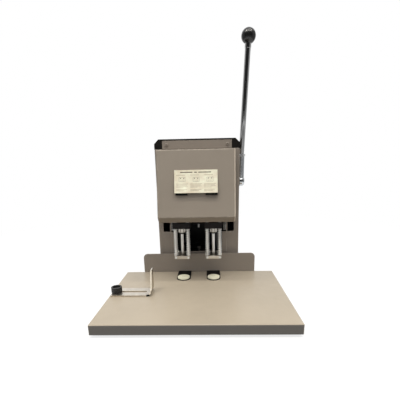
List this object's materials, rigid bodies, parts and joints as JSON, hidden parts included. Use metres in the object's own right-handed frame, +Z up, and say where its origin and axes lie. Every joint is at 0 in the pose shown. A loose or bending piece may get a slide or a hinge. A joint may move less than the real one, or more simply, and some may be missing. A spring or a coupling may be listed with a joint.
{
  "type": "paper drill",
  "caption": "Desk paper drill: lever-fed twin hollow drills with sprung pressers on a grey column and cover, wide steel table, back gauge and sliding side stop.",
  "frame": {"origin": "on the floor under the middle of the bounding box", "axes": "+Z up, -Y towards the user who pulls the lever, +X to the lever side"},
  "size_m": [0.362, 0.44, 0.5723],
  "materials": {
    "table_paint": "semi-gloss warm grey powder coat",
    "grey_paint": "satin warm grey powder coat",
    "dark_steel": "dark oiled plate",
    "rubber": "matte black rubber",
    "screw_steel": "zinc plated",
    "anvil_black": "black oxide",
    "disc_cream": "pale cream plastic",
    "bright_strip": "bright zinc plated strip",
    "black_plastic": "moulded black plastic",
    "plate_cream": null,
    "turned_steel": "turned and ground steel",
    "spring_steel": "bright spring wire",
    "bronze": "sintered bronze",
    "cast_black": "black painted casting",
    "motor_grey": "dark painted can",
    "gear_steel": "hobbed steel",
    "chrome": "bright chrome",
    "ball_black": "glossy black phenolic"
  },
  "bodies": {
    "base": {"table_pan": "table_paint", "base_plate": "dark_steel", "rubber_feet": "rubber", "foot_screws": "screw_steel", "anvil_block": "dark_steel", "anvil_left": "anvil_black", "anvil_right": "anvil_black", "back_gauge": "grey_paint", "column_shell": "grey_paint", "rear_cover": "grey_paint", "top_cap": "black_plastic", "top_fascia": "grey_paint", "front_cover": "grey_paint", "instruction_plate": "plate_cream", "housing_screws": "screw_steel", "side_frame_left": "dark_steel", "side_frame_right": "dark_steel", "lower_bridge": "dark_steel", "upper_bridge": "dark_steel", "guide_posts": "dark_steel", "shaft_bushes": "bronze", "depth_stop": "dark_steel", "micro_switch": "black_plastic", "power_inlet": "black_plastic", "return_springs": "spring_steel"},
    "drawer": {"chip_drawer": "black_plastic"},
    "carriage": {"carriage": "cast_black", "carriage_bushes": "bronze", "rack": "turned_steel", "stop_pin": "turned_steel", "spindle_bearings": "turned_steel", "motor": "motor_grey", "motor_screws": "screw_steel", "presser_springs_left": "spring_steel", "presser_springs_right": "spring_steel"},
    "motor_rotor": {"motor_shaft": "turned_steel", "motor_pinion": "bronze"},
    "left_spindle": {"spindle_left": "turned_steel", "spindle_gear_left": "gear_steel", "chuck_left": "turned_steel", "drill_bit_left": "turned_steel"},
    "right_spindle": {"spindle_right": "turned_steel", "spindle_gear_right": "gear_steel", "chuck_right": "turned_steel", "drill_bit_right": "turned_steel"},
    "left_presser": {"presser_plate_left": "turned_steel", "presser_rods_left": "turned_steel"},
    "right_presser": {"presser_plate_right": "turned_steel", "presser_rods_right": "turned_steel"},
    "lever": {"lever_shaft": "turned_steel", "lever_pinion": "gear_steel", "lever_hub": "chrome", "lever_nut": "chrome", "lever_rod": "chrome", "lever_knob": "ball_black"},
    "side_stop": {"side_gauge": "bright_strip"},
    "stop_knob": {"gauge_knob": "black_plastic", "gauge_stud": "turned_steel"},
    "left_disc": {"drill_disc_left": "disc_cream"},
    "right_disc": {"drill_disc_right": "disc_cream"}
  },
  "joints": [
    {"name": "carriage_feed", "type": "slide", "parent": "base", "child": "carriage", "axis": [0, 0, -1], "range_m": [0, 0.048], "stiffness_N_per_m": 900, "springref_m": -0.09, "deforming": ["return_springs"]},
    {"name": "lever_pull", "type": "hinge", "parent": "base", "child": "lever", "pos_m": [0, 0.14, 0.238], "axis": [1, 0, 0], "range_deg": [0, 82]},
    {"name": "left_spin", "type": "hinge", "parent": "carriage", "child": "left_spindle", "pos_m": [-0.035, -0.006, 0.175], "axis": [0, 0, 1], "continuous": true},
    {"name": "right_spin", "type": "hinge", "parent": "carriage", "child": "right_spindle", "pos_m": [0.035, -0.006, 0.175], "axis": [0, 0, 1], "continuous": true},
    {"name": "motor_spin", "type": "hinge", "parent": "carriage", "child": "motor_rotor", "pos_m": [0, 0.02228, 0.241], "axis": [0, 0, 1], "continuous": true},
    {"name": "left_press", "type": "slide", "parent": "carriage", "child": "left_presser", "axis": [0, 0, 1], "range_m": [0, 0.046], "stiffness_N_per_m": 200, "springref_m": -0.03, "deforming": ["presser_springs_left"]},
    {"name": "right_press", "type": "slide", "parent": "carriage", "child": "right_presser", "axis": [0, 0, 1], "range_m": [0, 0.046], "stiffness_N_per_m": 200, "springref_m": -0.03, "deforming": ["presser_springs_right"]},
    {"name": "stop_slide", "type": "slide", "parent": "base", "child": "side_stop", "axis": [-1, 0, 0], "range_m": [0, 0.052]},
    {"name": "knob_turn", "type": "hinge", "parent": "base", "child": "stop_knob", "pos_m": [-0.169, -0.088, 0.035], "axis": [0, 0, 1], "range_deg": [0, 360]},
    {"name": "left_disc_turn", "type": "hinge", "parent": "base", "child": "left_disc", "pos_m": [-0.035, -0.006, 0.027], "axis": [0, 0, 1], "continuous": true},
    {"name": "right_disc_turn", "type": "hinge", "parent": "base", "child": "right_disc", "pos_m": [0.035, -0.006, 0.027], "axis": [0, 0, 1], "continuous": true},
    {"name": "drawer_slide", "type": "slide", "parent": "base", "child": "drawer", "axis": [0, 1, 0], "range_m": [0, 0.11]}
  ],
  "couplings": [
    {"joint": "lever_pull", "follows": "carriage_feed", "rad_per_m": 29.412},
    {"joint": "right_spin", "follows": "left_spin", "ratio": 1},
    {"joint": "motor_spin", "follows": "left_spin", "ratio": -2}
  ]
}
